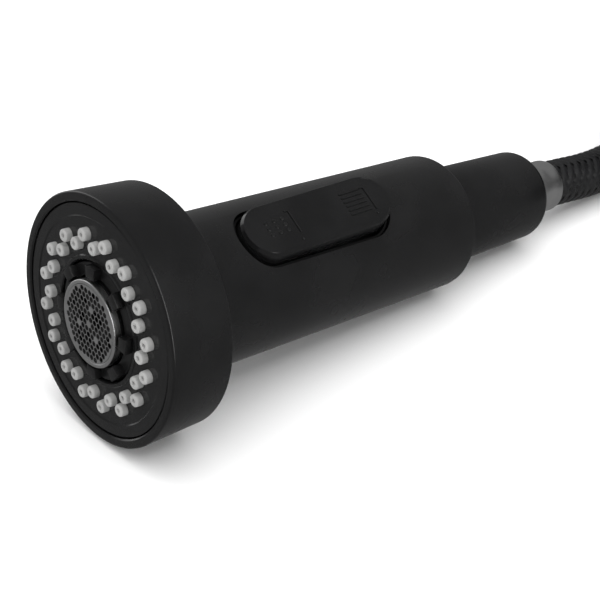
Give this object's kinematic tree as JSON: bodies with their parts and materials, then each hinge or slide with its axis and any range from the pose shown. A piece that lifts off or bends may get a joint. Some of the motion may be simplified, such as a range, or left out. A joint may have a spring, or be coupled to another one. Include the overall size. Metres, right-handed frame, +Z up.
{
  "type": "pull-down kitchen spray head with hose",
  "caption": "Hand-held pull-down kitchen spray head with a wide round bell, rocker selector, two-ring spray face, centre aerator and braided hose put away as a tied hank.",
  "frame": {"origin": "middle of the spray head's footprint on the floor, hose's put-away part left out, z = 0 at the floor", "axes": "+Y from the spray face towards the hose, +Z up, +X to the right seen from behind the hose; the head lies on its bell and on its handle's rear edge, so its axis dips about 6 degrees towards the hose"},
  "size_m": [0.1096, 0.4176, 0.0557],
  "materials": {
    "satin_black": "satin",
    "gloss_black": "gloss",
    "black_plastic": "matte",
    "grey_silicone": "matte",
    "white_plastic": "matte",
    "blue_plastic": "matte",
    "satin_metal": "satin",
    "steel": "satin",
    "brass": "satin",
    "rubber": "matte",
    "braid": "satin"
  },
  "bodies": {
    "hose": {"hose_tail": "brass", "hose_o_ring": "rubber", "hose_ferrule": "satin_metal", "hose_tube": "braid", "hose_hank": "braid", "hose_tie_left": "rubber", "hose_tie_right": "rubber", "end_ferrule": "satin_metal", "end_spigot": "brass", "end_o_ring_1": "rubber", "end_o_ring_2": "rubber"},
    "head": {"outer_shell": "satin_black", "rear_collar": "satin_black", "face_plate": "gloss_black", "nozzle_mat": "grey_silicone", "spray_plate": "white_plastic", "chamber_seal": "rubber", "aerator_housing": "black_plastic", "aerator_ring": "satin_metal", "aerator_screen": "satin_metal", "aerator_core": "black_plastic", "aerator_gasket": "rubber", "diverter_body": "black_plastic", "rocker_seal": "rubber", "rocker_pin": "steel", "inlet_adapter": "brass", "check_valve_cage": "white_plastic", "check_valve_seal": "rubber", "check_valve_spring": "steel", "inlet_filter": "white_plastic", "swivel_clip": "steel"},
    "rocker": {"rocker_button": "gloss_black", "rocker_lever": "black_plastic"},
    "diverter": {"diverter_spool": "blue_plastic", "spool_o_ring_front": "rubber", "spool_o_ring_rear": "rubber"},
    "check_valve": {"check_valve_poppet": "white_plastic"}
  },
  "joints": [
    {"name": "swivel", "type": "hinge", "parent": "hose", "child": "head", "pos_m": [0, 0.03246, 0.01682], "axis": [0, 0.9943, -0.1065], "continuous": true},
    {"name": "rocker_tip", "type": "hinge", "parent": "head", "child": "rocker", "pos_m": [0.00701, -0.02308, 0.03354], "axis": [-0.8368, 0.0583, 0.5444], "range_deg": [0, 8.6]},
    {"name": "diverter_slide", "type": "slide", "parent": "head", "child": "diverter", "axis": [0, -0.9943, 0.1065], "range_m": [0, 0.00123]},
    {"name": "check_valve_lift", "type": "slide", "parent": "head", "child": "check_valve", "axis": [0, -0.9943, 0.1065], "range_m": [0, 0.002], "stiffness_N_per_m": 100, "springref_m": -0.002, "deforming": ["check_valve_spring"]}
  ],
  "couplings": [
    {"joint": "rocker_tip", "follows": "diverter_slide", "rad_per_m": 121.72}
  ]
}
